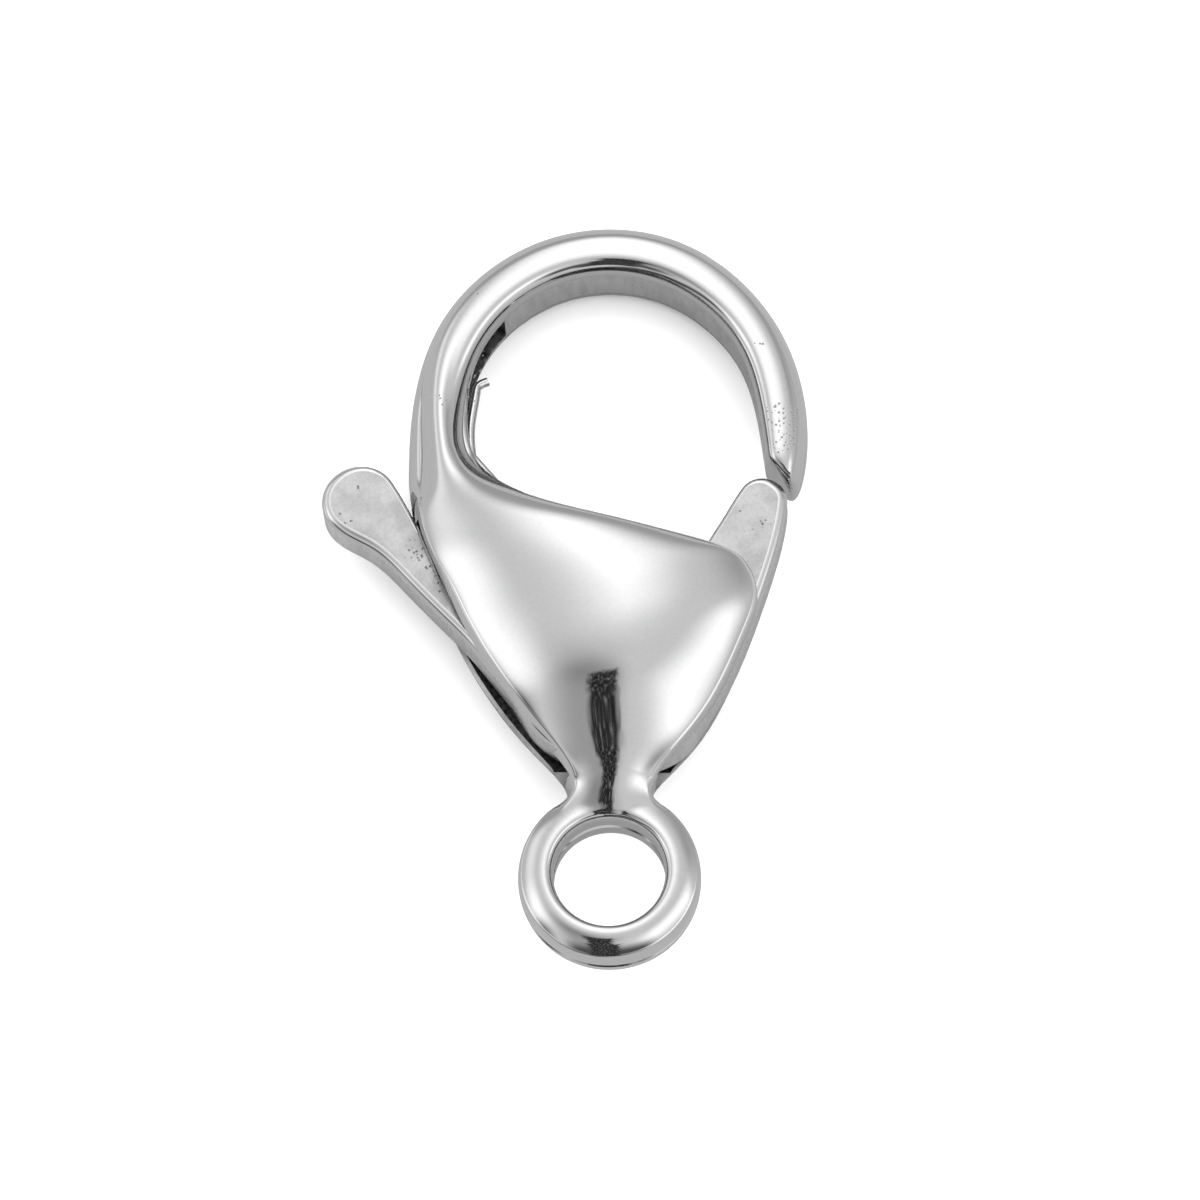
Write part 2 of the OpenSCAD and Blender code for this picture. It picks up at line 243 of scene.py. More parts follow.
# The tent's bright windows and dark shapes: make_light() says how they are laid out
TENT_PATCHES = [
    # u, v, half length, half width, turn, softness, brightness, raggedness
    [0.50, 0.66, 0.13, 0.38, 0.0, 0.15, 0.62, 0.0],
    [-0.76, 0.32, 0.14, 0.30, 0.0, 0.12, 0.90, 0.0],
    [-0.45, 0.74, 0.42, 0.10, 0.0, 0.10, 0.62, 0.0],
    [0.05, 0.92, 0.55, 0.14, 0.0, 0.12, 0.62, 0.0],
    [0.00, 0.42, 0.12, 0.23, 0.0, 0.15, 2.30, 0.0],
    [-0.48, 0.32, 0.10, 0.25, 0.0, 0.10, 1.50, 0.0],
    [-0.46, 0.03, 0.11, 0.11, 0.0, 0.10, 2.10, 0.0],
    [-0.92, 0.08, 0.10, 0.22, 0.0, 0.10, 1.70, 0.0],
    [0.37, -0.05, 0.23, 0.09, 42.0, 0.09, 2.15, 0.0],
    [-0.52, -0.55, 0.42, 0.09, 90.0, 0.09, 0.10, 0.0],
    [-0.30, -0.72, 0.30, 0.14, -40.0, 0.10, 0.06, 0.0],
    [-0.15, -0.15, 0.12, 0.20, 0.0, 0.10, 0.62, 0.0],
    [0.00, -0.36, 0.30, 0.10, 0.0, 0.08, 0.14, 0.0],
    [-0.11, -0.05, 0.12, 0.05, -25.0, 0.08, 0.45, 0.0],
    [-0.060, -0.14, 0.062, 0.10, 3.0, 0.014, 0.025, 0.010],
    [-0.042, -0.33, 0.095, 0.14, 4.0, 0.020, 0.030, 0.016],
    [-0.020, -0.49, 0.170, 0.07, 0.0, 0.040, 0.030, 0.016],
]


def length(name, default, description):
    """A property that holds a length in metres."""
    return bpy.props.FloatProperty(
        name=name, default=default, description=description, min=0.0, unit="LENGTH", precision=5
    )


def share(name, default, description, top=1.0):
    """A property that holds a plain number from 0 to top."""
    return bpy.props.FloatProperty(name=name, default=default, description=description, min=0.0, max=top)


def tint(name, default, description):
    """A property that holds a colour."""
    return bpy.props.FloatVectorProperty(
        name=name, default=default, description=description, size=3, min=0.0, max=1.0, subtype="COLOR"
    )


class ClaspSizes(bpy.types.PropertyGroup):
    """Sizes that the surfaces are worked out from"""

    eye_r: length("Eye radius", 0.00475, "Radius of the eye inside the hook")
    hook_r: length("Hook radius", 0.0065, "Outer radius of the hook")
    reach: length("Reach", 0.01605, "From the middle of the end ring to the middle of the eye")
    hook_t: length("Hook thickness", 0.0027, "Thickness of the hook over its rounded front and back")
    hook_wall: length("Hook wall", 0.00135, "Height of the flat wall inside the eye")
    body_w: length("Body width", 0.0106, "Width across the domed shells")
    dome_t: length("Dome thickness", 0.0057, "Thickness over the two domes")
    rim_t: length("Rim thickness", 0.0034, "Thickness over the rims of the shells")
    rim_draft: length("Rim draft", 0.0002, "How far a rim slopes outwards below its edge")
    bulge: length("Side bulge", 0.0003, "How far a side stands out beyond the edge of the front")
    channel_d: length("Channel depth", 0.00085, "Depth of the channel inside the hook's left limb")
    channel_w: length("Channel width", 0.0012, "Width of that channel, through the clasp's thickness")
    bore_r: length("Bore radius", 0.0018, "Radius of the hole in the end ring")
    ring_r: length("Ring radius", 0.00295, "Outer radius of the end ring")
    ring_t: length("Ring thickness", 0.0019, "Thickness of the end ring")
    ring_side: length("Ring side", 0.001, "Height of the ring's side between the edges of its two leaves")
    seam_d: length("Seam depth", 0.00012, "Depth of the seam between the ring's two leaves")
    lip: length("Shell lip", 0.00011, "Width of the flat lip round the hollow inside each shell")
    lever_t: length("Lever thickness", 0.0016, "Thickness of the lever")
    side_gap: length("Side gap", 0.0001, "Gap between the lever and each shell")
    hub_r: length("Hub radius", 0.00365, "Radius of the lever's hub")
    tab_r: length("Tab radius", 0.00124, "Radius of the round end of the thumb tab")
    tab_reach: length("Tab reach", 0.00984, "From the pin to the middle of the tab's round end")
    gate_r: length("Gate radius", 0.0008, "Radius of the round end of the gate")
    gate_reach: length("Gate reach", 0.00734, "From the pin to the middle of the gate's round end")
    bevel: length("Lever bevel", 0.0003, "Width of the rounded edge round the lever's faces")
    pin_r: length("Pin radius", 0.00075, "Radius of the pin")
    wire_d: length("Wire diameter", 0.0003, "Diameter of the spring's wire")
    coil_r: length("Coil radius", 0.00115, "Radius of the spring's coil, to the middle of the wire")


class ClaspFinish(bpy.types.PropertyGroup):
    """Colours and finishes"""

    steel: tint("Polished steel", (0.50, 0.50, 0.505), "Colour of the polished hook, shells and ring")
    satin: tint("Satin steel", (0.42, 0.42, 0.425), "Colour of the lever's faces")
    wall: tint("Side walls", (0.60, 0.60, 0.605), "Colour of the lever's sides and the hook's inner wall")
    # Painted shade: a dark copy of the steel for edges and walls that face away from the light
    edge: tint("Shaded edge", (0.22, 0.22, 0.222), "Colour of the lever's inner edges and the shells' walls")
    # Partly real, partly painted shade: the slot's rough casting skin, made far darker than steel to paint its
    # shade
    skin: tint("Casting skin and shade", (0.10, 0.098, 0.096), "Colour of the unpolished steel inside the slot")
    wire: tint("Wire", (0.56, 0.56, 0.565), "Colour of the spring")
    shine: share("Polish roughness", 0.045, "Roughness of the polished steel")
    # Painted shade: rim darkens the steel's colour at its grazing edges into dark painted lines
    rim: share("Rim brightness", 0.22, "How much of its colour the steel keeps at its grazing edges")
    satin_rough: share("Satin roughness", 0.38, "Roughness of the satin steel")


class ClaspStage(bpy.types.PropertyGroup):
    """The floor and the light"""

    floor: tint("Floor", (0.93, 0.93, 0.93), "Colour of the floor")
    tent: share("Tent light", 1.1, "Strength of the even light from above", 4.0)
    fill: share("Floor light", 2.6, "How much more of the tent's light falls on the floor", 4.0)
    mirror: share("Floor in the steel", 0.42, "How bright the floor is in the steel, as a share of its own")
    horizon: share("Horizon light", 0.68, "Strength at the horizon as a share of the light from above")
    floor_r: length("Floor radius", 1.5, "Radius of the floor")


def sizes():
    """The lengths of ClaspSizes in millimetres, by name."""
    group = bpy.context.scene.clasp_sizes
    return {name: getattr(group, name) / MM for name in ClaspSizes.__annotations__}


# Surfaces


def spline_rows(rows, per_row):
    """A natural cubic spline through rows, all columns at once, with per_row samples from row to row."""
    rows = np.asarray(rows, float)
    n = len(rows)
    bend = np.zeros((n, n))
    bend[0, 0] = bend[-1, -1] = 1.0
    inside = np.arange(1, n - 1)
    bend[inside, inside - 1] = bend[inside, inside + 1] = 1.0
    bend[inside, inside] = 4.0
    load = np.zeros_like(rows)
    load[1:-1] = 6.0 * (rows[2:] - 2.0 * rows[1:-1] + rows[:-2])
    second = np.linalg.solve(bend, load)
    t = np.linspace(0.0, n - 1.0, (n - 1) * per_row + 1)
    i = np.minimum(t.astype(int), n - 2)
    b = (t - i)[:, None]
    a = 1.0 - b
    return a * rows[i] + b * rows[i + 1] + ((a**3 - a) * second[i] + (b**3 - b) * second[i + 1]) / 6.0


def closed_spline(points, count):
    """A closed cubic spline through points, evened out to count steps of equal length."""
    points = np.asarray(points, float)
    n = len(points)
    step = np.linalg.norm(np.roll(points, -1, 0) - points, axis=1)
    before = np.roll(step, 1)
    i = np.arange(n)
    bend = np.zeros((n, n))
    bend[i, (i - 1) % n] += before
    bend[i, (i + 1) % n] += step
    bend[i, i] += 2.0 * (before + step)
    slope = (np.roll(points, -1, 0) - points) / step[:, None]
    second = np.linalg.solve(bend, 6.0 * (slope - np.roll(slope, 1, 0)))
    u = np.linspace(0.0, 1.0, 24, endpoint=False)[None, :, None]
    h = step[:, None, None]
    p, q = points[:, None], np.roll(points, -1, 0)[:, None]
    m, k = second[:, None], np.roll(second, -1, 0)[:, None]
    v = 1.0 - u
    fine = (v * p + u * q + h**2 / 6.0 * ((v**3 - v) * m + (u**3 - u) * k)).reshape(-1, points.shape[1])
    fine = np.vstack([fine, fine[:1]])
    run = np.concatenate([[0.0], np.cumsum(np.linalg.norm(np.diff(fine, axis=0), axis=1))])
    at = np.linspace(0.0, run[-1], count, endpoint=False)
    return np.stack([np.interp(at, run, column) for column in fine.T], 1)


def soften(rows, spread):
    """Rows averaged along their run with a bell curve, its spread in rows; the two end rows stay."""
    reach = int(math.ceil(3 * spread))
    k = np.arange(-reach, reach + 1)
    bell = np.exp(-0.5 * (k / spread) ** 2)
    bell /= bell.sum()
    head = 2 * rows[0] - rows[reach:0:-1]
    tail = 2 * rows[-1] - rows[-2 : -2 - reach : -1]
    padded = np.vstack([head, rows, tail])
    return np.stack([np.convolve(column, bell, "valid") for column in padded.T], 1)


def polar(radius, degrees):
    """Points at a distance and an angle about the origin."""
    turn = np.radians(degrees)
    return np.stack([radius * np.cos(turn), radius * np.sin(turn)], -1)


def body_stations(s):
    """Hook and shells as smooth rows: inner x, y, outer x, y, edge, crown, bulge, skew, lift and turned."""
    hook = np.array(HOOK_ROWS)
    half, reach = s["body_w"] / 2, s["reach"]
    middle = [0.0, reach]
    hooked = np.column_stack([
        polar(s["eye_r"] * hook[:, 1], hook[:, 0]) + middle,
        polar(s["hook_r"] * hook[:, 2], hook[:, 0]) + middle,
        s["hook_wall"] / 2 * hook[:, 3],
        s["hook_t"] / 2 * hook[:, 4],
        s["bulge"] * hook[:, 5],
        np.zeros(len(hook)),
        hook[:, 6:8],
    ])
    units = [half, reach, half, reach, s["rim_t"] / 2, s["dome_t"] / 2, s["bulge"], SHELL_SKEW, 1.0, 1.0]
    rows = np.vstack([hooked, np.array(BODY_ROWS) * units])
    return soften(spline_rows(rows, STATIONS_PER_ROW), STATION_SOFTNESS)


def body_rings(s):
    """Sections of the hook and the shells as (station, point, xyz).

    Both kinds start at the middle of the inner wall and are mirrored in the middle plane. The hook's wall
    rises straight to its edge, a squared-off quarter ellipse rounds that up to the crown, and another one
    falls to the outer side. The shells' wall leans out to its edge, which is higher than the outer one by
    lift. There (1 - u squared) to DOME_POWER carries the dome from edge over crown to edge, and a quarter
    ellipse closes the outer side. turned mixes the two, point by point, and skew slides a point outwards by
    its height.
    """
    rows = body_stations(s)
    inner, outer, rest = rows[:, 0:2], rows[:, 2:4], rows[:, 4:10].T[:, :, None]
    edge, crown, bulge, skew, raised, turned = rest
    wide = np.linalg.norm(outer - inner, axis=1)[:, None]
    rise = np.linspace(0, 1, 9)[None, :-1]
    inset = np.minimum(s["rim_draft"], wide / 4)
    outset = np.minimum(bulge, wide / 3)
    u = -np.cos(np.linspace(0, np.pi, 49))[None]
    fall = np.radians(np.linspace(90, 0, 13)[1:])[None]
    lift = np.radians(90 * rise)
    shell = [
        (inset * (1 - np.sqrt(np.cos(lift))), (edge + raised) * np.sqrt(np.sin(lift))),
        (
            inset + (wide - inset - outset) * (1 + u) / 2,
            edge + raised * (1 - u) / 2 + (crown - edge - raised / 2) * (1 - u * u) ** DOME_POWER,
        ),
        (wide - outset * (1 - np.cos(fall)), edge * np.sin(fall)),
    ]
    top = HOOK_CROWN * wide
    climb = np.radians(np.linspace(0, 90, 17)[:-1])[None]
    drop = np.radians(np.linspace(0, 90, 45))[None]
    inner_power, outer_power = 2 / HOOK_EDGE, 2 / HOOK_SIDE
    hook = [
        (np.zeros_like(wide * rise), edge * rise),
        (top * (1 - np.cos(climb) ** inner_power), edge + (crown - edge) * np.sin(climb) ** inner_power),
        (top + (wide - top) * np.sin(drop) ** outer_power, crown * np.cos(drop) ** outer_power),
    ]
    run, high = (
        (1 - turned) * np.concatenate([part[k] for part in hook], 1)
        + turned * np.concatenate([part[k] for part in shell], 1)
        for k in (0, 1)
    )
    run = np.concatenate([run, run[:, -2:0:-1]], 1)
    high = np.concatenate([high, -high[:, -2:0:-1]], 1)
    run = run - skew * high
    along = (outer - inner) / wide
    flat = inner[:, None, :] + along[:, None, :] * run[:, :, None]
    return np.concatenate([flat, high[:, :, None]], 2)


def shell_outline(s, inset):
    """The shells' outline, anticlockwise and moved in by inset, between the eye and the neck."""
    rows = body_stations(s)
    rows = rows[(rows[:, 1] > 0.235 * s["reach"]) & (rows[:, 0] > -0.3 * s["body_w"]) & (rows[:, 9] > 0.99)]
    turn = np.vstack([rows[::-4, 0:2], rows[::4, 2:4]])
    return turn - outline_normals(turn) * inset


def ring_rings(s, count=288):
    """The end ring's section carried round its middle: two leaves, a side that bulges and a fine seam.

    A leaf's inner edge is a quarter ellipse up to its crown, made fuller by RING_EDGE. From there its face
    falls as the distance to the power RING_POWER. The side is a quarter ellipse from each shoulder out to the
    ring's full radius, and the seam is a small notch at the middle, outside and in the bore.
    """
    top, side, shoulder = s["ring_t"] / 2, s["ring_side"] / 2, s["ring_r"] - RING_SHOULDER
    crown = s["bore_r"] + RING_CROWN
    climb = np.radians(np.linspace(0, 90, 13)[:-1])
    edge = np.stack([
        s["bore_r"] + RING_CROWN * (1 - np.cos(climb) ** RING_EDGE),
        side + (top - side) * np.sin(climb) ** RING_EDGE,
    ], 1)
    t = np.linspace(0, 1, 29)
    face = np.stack([crown + (shoulder - crown) * t, top - RING_FALL * t**RING_POWER], 1)
    fall = np.radians(np.linspace(90, 8, 11)[1:])
    out = np.stack([shoulder + RING_SHOULDER * np.cos(fall), (top - RING_FALL) * np.sin(fall)], 1)
    seam = np.array([[s["ring_r"] - s["seam_d"], 0.0]])
    bore = np.array([[s["bore_r"] + s["seam_d"], 0.0], [s["bore_r"], s["seam_d"]]])
    upper = np.vstack([bore, edge, face, out])
    profile = np.vstack([upper, seam, (upper * [1, -1])[:0:-1]])
    turn = np.radians(np.arange(count) * 360.0 / count)
    return np.stack([
        np.cos(turn)[:, None] * profile[None, :, 0],
        np.sin(turn)[:, None] * profile[None, :, 0],
        np.broadcast_to(profile[None, :, 1], (count, len(profile))),
    ], 2)


def arc_points(middle, radius, turn, arc, side):
    """Points round an end of the lever, from arc degrees to one side of its tip up to the tip."""
    return middle + polar(radius, turn - side * np.linspace(arc, 0, 9))


def lever_outline(s):
    """The lever's closed outline, anticlockwise: up the gate's outer side, over its end, back along its inner
    side, round the tab and home under the hub."""
    tab, hub, gate = np.array(TAB_ROWS), np.array(HUB_ROWS), np.array(GATE_ROWS)
    tab_end = s["tab_reach"] * np.array(TAB_WAY)
    gate_end = s["gate_reach"] * np.array(GATE_WAY)
    gate_front, gate_back = (arc_points(gate_end, s["gate_r"], GATE_TIP, GATE_ARC, side) for side in (1, -1))
    tab_front, tab_back = (arc_points(tab_end, s["tab_r"], TAB_TIP, TAB_ARC, side) for side in (1, -1))
    points = np.vstack([
        s["gate_reach"] * gate[:, 2:4],
        gate_front,
        gate_back[-2::-1],
        s["gate_reach"] * gate[::-1, 0:2],
        s["hub_r"] * hub[::-1, 0:2],
        s["tab_reach"] * tab[::-1, 0:2],
        tab_front,
        tab_back[-2::-1],
        s["tab_reach"] * tab[:, 2:4],
        polar(s["hub_r"] * hub[:, 3], hub[:, 2]),
    ])
    return closed_spline(points, 720) + PIN[:2]


def outline_normals(outline):
    """Outward unit normals of a closed anticlockwise outline."""
    ahead = np.roll(outline, -1, 0) - np.roll(outline, 1, 0)
    ahead /= np.linalg.norm(ahead, axis=1)[:, None]
    return np.stack([ahead[:, 1], -ahead[:, 0]], 1)


def lever_rings(s):
    """The lever's outline carried over its edges, each a quarter ellipse from the face down to the side.

    An edge is as wide as the bevel where it faces away from the pin, to the left or the right, and narrows to
    0.4 of that where it faces back. It is 0.8 as high as it is wide.
    """
    outline = lever_outline(s)
    out = outline_normals(outline)
    outwards = out[:, 0] * np.sign(outline[:, 0] - PIN[0])
    width = s["bevel"] * (0.4 + 0.6 * np.clip(0.6 + 0.67 * outwards, 0, 1))[None]
    high = s["lever_t"] / 2
    turn = np.radians(np.linspace(0, 90, 13))[:, None]
    inside = width * (1 - np.sin(turn))
    height = high - 0.8 * width * (1 - np.cos(turn))
    inside = np.concatenate([1.2 * width, inside, inside[::-1], 1.2 * width])
    height = np.concatenate([np.full_like(width, high), height, -height[::-1], np.full_like(width, -high)])
    flat = outline[None] - out[None] * inside[:, :, None]
    return np.concatenate([flat, height[:, :, None]], 2)


def tube(path, radius, sides=20):
    """A circle carried along a path in space, each section square to the path and with one axis level."""
    ahead = np.gradient(path, axis=0)
    ahead /= np.linalg.norm(ahead, axis=1)[:, None]
    side = np.cross([0.0, 0.0, 1.0], ahead)
    side /= np.linalg.norm(side, axis=1)[:, None]
    up = np.cross(ahead, side)
    turn = np.radians(np.arange(sides) * 360.0 / sides)
    return path[:, None] + radius * (
        np.cos(turn)[None, :, None] * side[:, None] + np.sin(turn)[None, :, None] * up[:, None]
    )


# Meshes


def closed_mesh(name, rings, capped=True):
    """A closed mesh over rings of equally many points: each ring is joined to the next, and either the ends
    are capped or the last ring is joined to the first."""
    n, m = rings.shape[:2]
    r = np.arange(n if not capped else n - 1)[:, None]
    i = np.arange(m)[None]
    nxt, side = (r + 1) % n, (i + 1) % m
    quads = np.stack([r * m + i, nxt * m + i, nxt * m + side, r * m + side], -1).reshape(-1, 4).tolist()
    if capped:
        quads += [list(range(m)), list(range(n * m - 1, (n - 1) * m - 1, -1))]
    mesh = bpy.data.meshes.new(name)
    mesh.from_pydata(rings.reshape(-1, 3).tolist(), [], quads)
    mesh.update()
    piece = bpy.data.objects.new(name, mesh)
    bpy.context.scene.collection.objects.link(piece)
    return face_outwards(piece)


def face_outwards(piece):
    """Turns a closed mesh the right way out, by the sign of its volume."""
    mesh = piece.data
    mesh.calc_loop_triangles()
    co = vertex_places(mesh)
    tri = np.empty(len(mesh.loop_triangles) * 3, np.int64)
    mesh.loop_triangles.foreach_get("vertices", tri)
    a, b, c = co[tri.reshape(-1, 3)].transpose(1, 0, 2)
    if np.einsum("ij,ij->i", a, np.cross(b, c)).sum() < 0:
        mesh.flip_normals()
    return piece


def vertex_places(mesh):
    """The mesh's vertices as an array."""
    co = np.empty(len(mesh.vertices) * 3)
    mesh.vertices.foreach_get("co", co)
    return co.reshape(-1, 3)


def prism(name, corners, low, high):
    """A polygon in the flat plane carried from one height to another."""
    corners = np.asarray(corners, float)
    rings = np.stack([np.column_stack([corners, np.full(len(corners), z)]) for z in (low, high)])
    return closed_mesh(name, rings)


def combine(piece, other, operation):
    """Joins or cuts one closed mesh with another and removes the other."""
    step = piece.modifiers.new("Combine", "BOOLEAN")
    step.operation = operation
    step.solver = "MANIFOLD"
    step.object = other
    graph = bpy.context.evaluated_depsgraph_get()
    mesh = bpy.data.meshes.new_from_object(piece.evaluated_get(graph))
    piece.modifiers.clear()
    old, piece.data = piece.data, mesh
    bpy.data.meshes.remove(old)
    bpy.data.objects.remove(other)
    if len(mesh.polygons) == 0:
        raise RuntimeError(f"{piece.name}: nothing is left after {operation}")


def relax(mesh, weight, rounds):
    """Rounds a crease: in each round a vertex moves towards the mean of its neighbours by half its weight."""
    edges = np.empty(len(mesh.edges) * 2, np.int64)
    mesh.edges.foreach_get("vertices", edges)
    edges = edges.reshape(-1, 2)
    edges = edges[(weight[edges] > 0).any(1)]
    co = vertex_places(mesh)
    count = np.bincount(edges.ravel(), minlength=len(co))[:, None]
    moving = np.nonzero(weight > 0)[0]
    for _ in range(rounds):
        total = np.zeros_like(co)
        np.add.at(total, edges[:, 0], co[edges[:, 1]])
        np.add.at(total, edges[:, 1], co[edges[:, 0]])
        mean = total[moving] / count[moving]
        co[moving] += weight[moving, None] * 0.5 * (mean - co[moving])
    mesh.vertices.foreach_set("co", co.ravel())
    mesh.update()


def finish_piece(piece, materials, sharp_degrees):
    """Gives a piece its materials, smooth faces with sharp creases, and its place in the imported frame."""
    mesh = piece.data
    mesh.materials.clear()
    for material in materials:
        mesh.materials.append(material)
    place = Matrix.Translation(Vector(RING_MIDDLE)) @ Matrix(BASIS.tolist()).to_4x4() @ Matrix.Scale(MM, 4)
    mesh.transform(place)
    mesh.update()
    mesh.shade_smooth()
    mesh.set_sharp_from_angle(angle=math.radians(sharp_degrees))


def faces(mesh):
    """The middles and the normals of a placed mesh's faces, back in the flat frame."""
    middle, normal = np.empty((2, len(mesh.polygons) * 3))
    mesh.polygons.foreach_get("center", middle)
    mesh.polygons.foreach_get("normal", normal)
    return (middle.reshape(-1, 3) - RING_MIDDLE) @ BASIS / MM, normal.reshape(-1, 3) @ BASIS


def paint(mesh, kinds, slots):
    """Gives each face the material slot of the first kind that it is, and slot 0 where it is none."""
    mesh.polygons.foreach_set("material_index", np.select(kinds, slots, 0).astype(np.int32))
    mesh.update()


# Materials


class Wiring:
    """Short ways to add to a node tree. A value is a socket to link from, or a number or colour to set."""

    def __init__(self, tree):
        self.nodes = tree.nodes
        self.links = tree.links

    def feed(self, socket, value):
        """Links a socket to another one, or sets its number or colour."""
        if isinstance(value, bpy.types.NodeSocket):
            self.links.new(value, socket)
        else:
            socket.default_value = value

    def add(self, kind, inputs=(), **settings):
        """Adds a node with its settings, feeds its inputs by name or place, and returns its outputs."""
        node = self.nodes.new(kind)
        for key, value in settings.items():
            setattr(node, key, value)
        for key, value in dict(inputs).items():
            self.feed(node.inputs[key], value)
        return node.outputs

    def maths(self, operation, a, b):
        """One calculation with two values."""
        return self.add("ShaderNodeMath", {0: a, 1: b}, operation=operation)[0]

    def ramp(self, value, low, high, out_low=0.0, out_high=1.0):
        """Maps a value from low..high to out_low..out_high, smoothly."""
        inputs = {"Value": value, "From Min": low, "From Max": high, "To Min": out_low, "To Max": out_high}
        return self.add("ShaderNodeMapRange", inputs, interpolation_type="SMOOTHSTEP")["Result"]

    def mix(self, factor, a, b):
        """A colour between two colours."""
        return self.add("ShaderNodeMix", {"Factor": factor, "A": a, "B": b}, data_type="RGBA")["Result"]


def scaled(colour, amount):
    """A colour made darker, or brighter, with its alpha."""
    return (*[c * amount for c in colour], 1.0)


def new_group(name, inputs, outputs):
    """An empty shader group with a vector and named numbers going in and named numbers coming out."""
    group = bpy.data.node_groups.new(name, "ShaderNodeTree")
    group.interface.new_socket("Vector", in_out="INPUT", socket_type="NodeSocketVector")
    for key, default in inputs.items():
        socket = group.interface.new_socket(key, in_out="INPUT", socket_type="NodeSocketFloat")
        socket.default_value = default
    for key in outputs:
        group.interface.new_socket(key, in_out="OUTPUT", socket_type="NodeSocketFloat")
    start = group.nodes.new("NodeGroupInput")
    end = group.nodes.new("NodeGroupOutput")
    return group, Wiring(group), start.outputs, end.inputs


def pits_group():
    """Small casting pits: round dips in scattered cells, more of them where a slow noise or Near is high."""
    inputs = {"Scale": 3000.0, "Amount": 0.2, "Spread": 300.0, "Near": 0.0}
    group, w, into, out = new_group("clasp_pits", inputs, ["Mask"])
    cells = w.add("ShaderNodeTexVoronoi", {"Vector": into["Vector"], "Scale": into["Scale"]})
    dip = w.ramp(cells["Distance"], 0.40, 0.05)
    pick = w.add("ShaderNodeSeparateColor", {"Color": cells["Color"]})["Red"]
    crowd = w.add("ShaderNodeTexNoise", {"Vector": into["Vector"], "Scale": into["Spread"]})["Fac"]
    anywhere = w.maths("MULTIPLY", w.ramp(crowd, 0.42, 0.68), into["Amount"])
    chosen = w.maths("LESS_THAN", pick, w.maths("MAXIMUM", anywhere, into["Near"]))
    w.feed(out["Mask"], w.maths("MULTIPLY", dip, chosen))
    return group


def grain_group():
    """Fine grain left by tumbling, and wider patches of it: two noises from 0 to 1."""
    group, w, into, out = new_group("clasp_grain", {"Scale": 4000.0, "Patch": 500.0}, ["Grain", "Patches"])
    for scale, detail, end in (("Scale", 4.0, "Grain"), ("Patch", 2.0, "Patches")):
        noise = {"Vector": into["Vector"], "Scale": into[scale], "Detail": detail}
        w.feed(out[end], w.add("ShaderNodeTexNoise", noise)["Fac"])
    return group


def spots(w, vector, places):
    """One near any of the places, which are x, y, z and radius in the flat frame, and zero away from them."""
    total = 0.0
    for x, y, z, radius in places:
        middle = RING_MIDDLE + BASIS @ np.array([x, y, z]) * MM
        gap = w.add("ShaderNodeVectorMath", {0: vector, 1: middle}, operation="DISTANCE")["Value"]
        total = w.maths("MAXIMUM", w.ramp(gap, radius * MM, radius * MM * 0.3), total)
    return total


def steel(name, colour, rough, rim, grain, pits, stretch=(1.0, 1.0, 1.0), places=()):
    """Steel with grain in its roughness, colour and surface, and small pits.

    rim is how much of its colour is left at a grazing edge: painted shade, dark lines painted along
    silhouettes and the turns of bevels. grain is its scale, its height and the darkest share of the colour, and
    pits are their scale, amount and depth. stretch draws the grain out, and the pits crowd round the places.
    """
    made = bpy.data.materials.get(name)
    if made:
        return made
    groups = bpy.data.node_groups
    pits_tree = groups.get("clasp_pits") or pits_group()
    grain_tree = groups.get("clasp_grain") or grain_group()
    grain_scale, grain_bump, grain_dark = grain
    pit_scale, pit_amount, pit_depth = pits
    material = bpy.data.materials.new(name)
    material.use_nodes = True
    w = Wiring(material.node_tree)
    place = w.add("ShaderNodeTexCoord")["Object"]
    lean = (math.asin(float(FRONT[1])), 0.0, 0.0)
    drawn = w.add("ShaderNodeMapping", {"Vector": place, "Scale": stretch, "Rotation": lean})["Vector"]
    inputs = {"Vector": drawn, "Scale": grain_scale, "Patch": grain_scale * WIDE_SHARE}
    g = w.add("ShaderNodeGroup", inputs, node_tree=grain_tree)
    inputs = {"Vector": place, "Scale": pit_scale, "Amount": pit_amount, "Spread": pit_scale * WIDE_SHARE}
    if places:
        inputs["Near"] = w.ramp(spots(w, place, places), 0.0, 1.0, 0.0, 0.9)
    pitted = w.add("ShaderNodeGroup", inputs, node_tree=pits_tree)["Mask"]
    rough_grain = w.ramp(g["Patches"], 0.3, 0.7, rough * 0.8, rough * 1.25)
    shade = w.mix(w.ramp(g["Grain"], 0.3, 0.65), scaled(colour, grain_dark), scaled(colour, 1.0))
    shade = w.mix(pitted, shade, scaled(colour, PIT_SHADE))
    # Painted shade: the colour falls to rim at grazing edges, painting dark lines along silhouettes and bevels
    facing = w.add("ShaderNodeLayerWeight")["Facing"]
    shade = w.mix(w.ramp(facing, 0.74, 0.96), shade, scaled(colour, rim))
    raised = w.maths("MULTIPLY", g["Grain"], grain_bump)
    height = w.maths("SUBTRACT", raised, w.maths("MULTIPLY", pitted, pit_depth))
    bump = w.add("ShaderNodeBump", {"Strength": 1.0, "Distance": 1.0, "Height": height})["Normal"]
    shader = w.nodes["Principled BSDF"].inputs
    w.feed(shader["Metallic"], 1.0)
    w.feed(shader["Roughness"], w.maths("ADD", rough_grain, w.maths("MULTIPLY", pitted, 0.3)))
    w.feed(shader["Base Color"], shade)
    w.feed(shader["Normal"], bump)
    return material


def polished():
    """Mirror-bright steel with a faint grain and a few spots of casting pits."""
    f = bpy.context.scene.clasp_finish
    grain, pits = (9000.0, 5.0e-8, 0.975), (8000.0, 0.0, 1.1e-5)
    return steel("mirror_polish", f.steel, f.shine, f.rim, grain, pits, places=POLISH_PITS)


def satin():
    """Satin steel: the lever's faces."""
    f = bpy.context.scene.clasp_finish
    grain, pits = (9000.0, 1.2e-6, 0.90), (7500.0, 0.05, 1.0e-5)
    return steel("satin_plate", f.satin, f.satin_rough, f.rim, grain, pits, places=PLATE_PITS)


